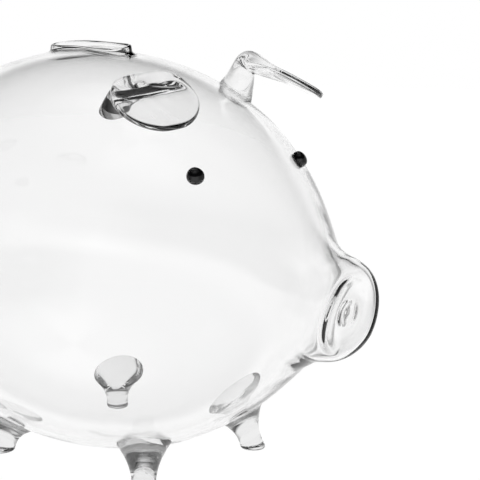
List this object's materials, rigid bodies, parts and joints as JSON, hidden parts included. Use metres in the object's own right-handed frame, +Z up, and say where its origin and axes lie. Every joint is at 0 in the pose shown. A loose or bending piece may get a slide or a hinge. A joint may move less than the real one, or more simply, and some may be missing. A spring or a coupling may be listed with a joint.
{
  "type": "piggy bank",
  "caption": "Clear blown-glass pig-shaped money bank with a lipped coin slot in its back, black bead eyes and stub feet.",
  "frame": {"origin": "on the ground under the middle of the bank's length and width", "axes": "-Y towards the snout, +X to the pig's left, +Z up"},
  "size_m": [0.126, 0.1818, 0.1322],
  "materials": {
    "clear_glass": "clear fire-polished borosilicate glass, slightly wavy",
    "black_glass": "opaque black glass bead, glossy"
  },
  "bodies": {
    "root": {"body_shell": "clear_glass", "snout": "clear_glass", "slot_lip": "clear_glass", "ear_left": "clear_glass", "ear_right": "clear_glass", "eye_left": "black_glass", "eye_right": "black_glass", "foot_front_left": "clear_glass", "foot_front_right": "clear_glass", "foot_rear_left": "clear_glass", "foot_rear_right": "clear_glass", "tail": "clear_glass"}
  },
  "joints": []
}
